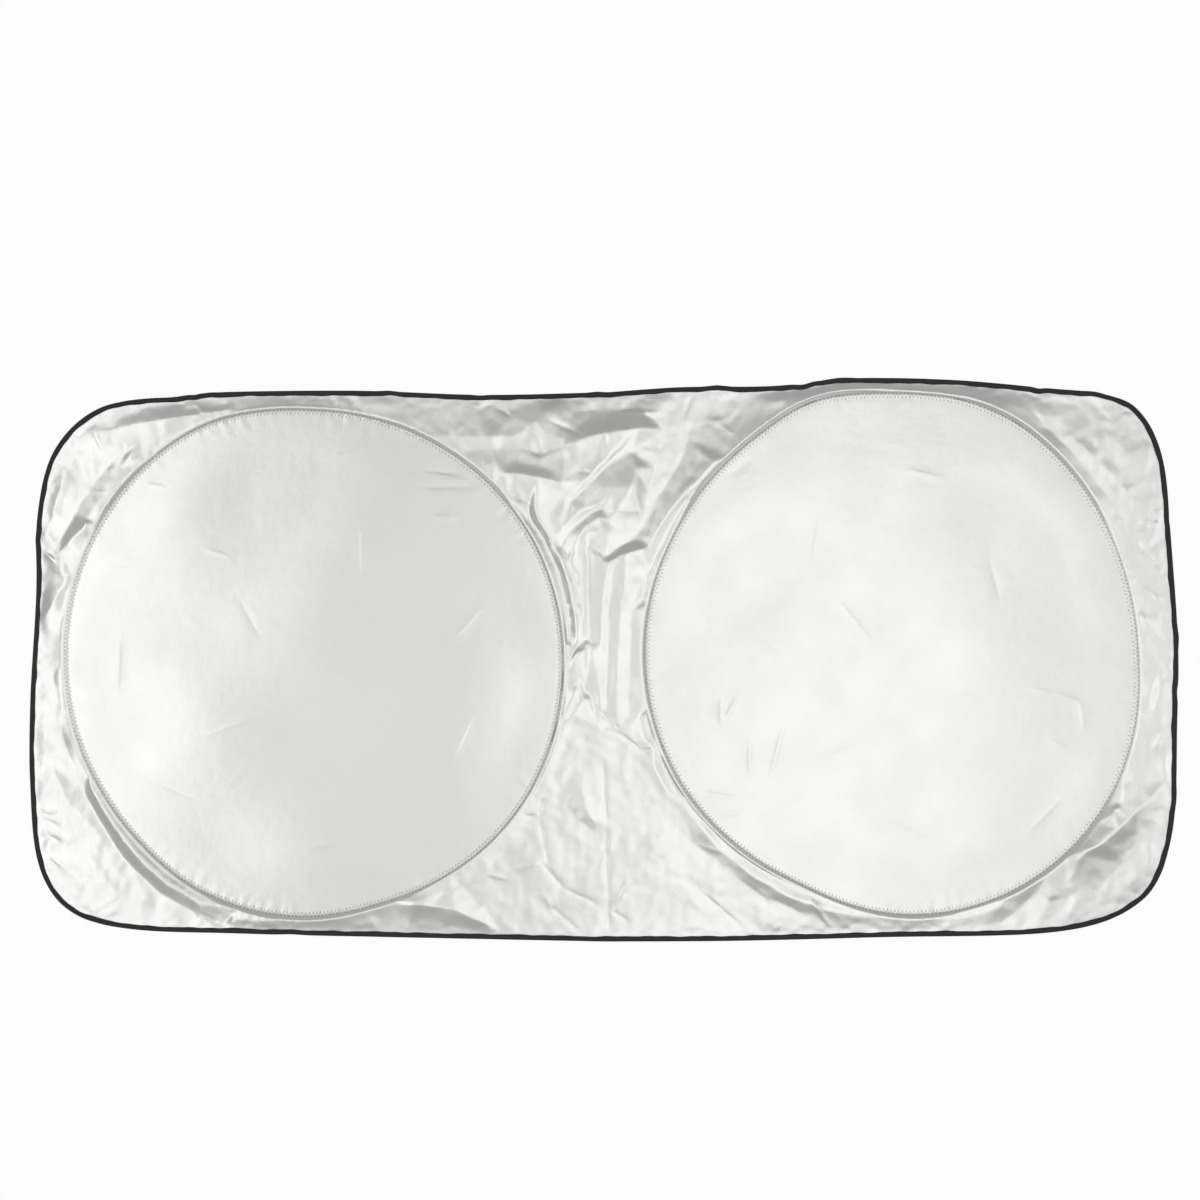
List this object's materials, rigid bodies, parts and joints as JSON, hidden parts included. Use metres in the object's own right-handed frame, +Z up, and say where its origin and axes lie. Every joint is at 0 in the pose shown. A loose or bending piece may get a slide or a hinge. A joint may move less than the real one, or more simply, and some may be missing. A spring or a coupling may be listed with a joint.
{
  "type": "windscreen sunshade",
  "caption": "Oblong silver cloth windscreen shade with a black bound edge and two round spring wire hoops in casings sewn to its back, lying flat and unfolded",
  "frame": {"origin": "below the middle of the sheet, on the surface that the shade lies on", "axes": "+X along the sheet's length, +Y across it towards the edge that is uppermost in the picture, +Z up from the silver face"},
  "size_m": [1.5012, 0.7317, 0.0189],
  "materials": {
    "silver_cloth": "aluminised polyester taffeta, soft metallic sheen",
    "black_tape": "matt woven polyester tape",
    "spring_steel": "drawn spring wire"
  },
  "bodies": {
    "root": {"shade_panel": "silver_cloth", "edge_binding": "black_tape", "hoop_wire_left": "spring_steel", "hoop_wire_right": "spring_steel", "hoop_sleeve_left": "spring_steel", "hoop_sleeve_right": "spring_steel", "hoop_casing_left": "silver_cloth", "hoop_casing_right": "silver_cloth"}
  },
  "joints": []
}
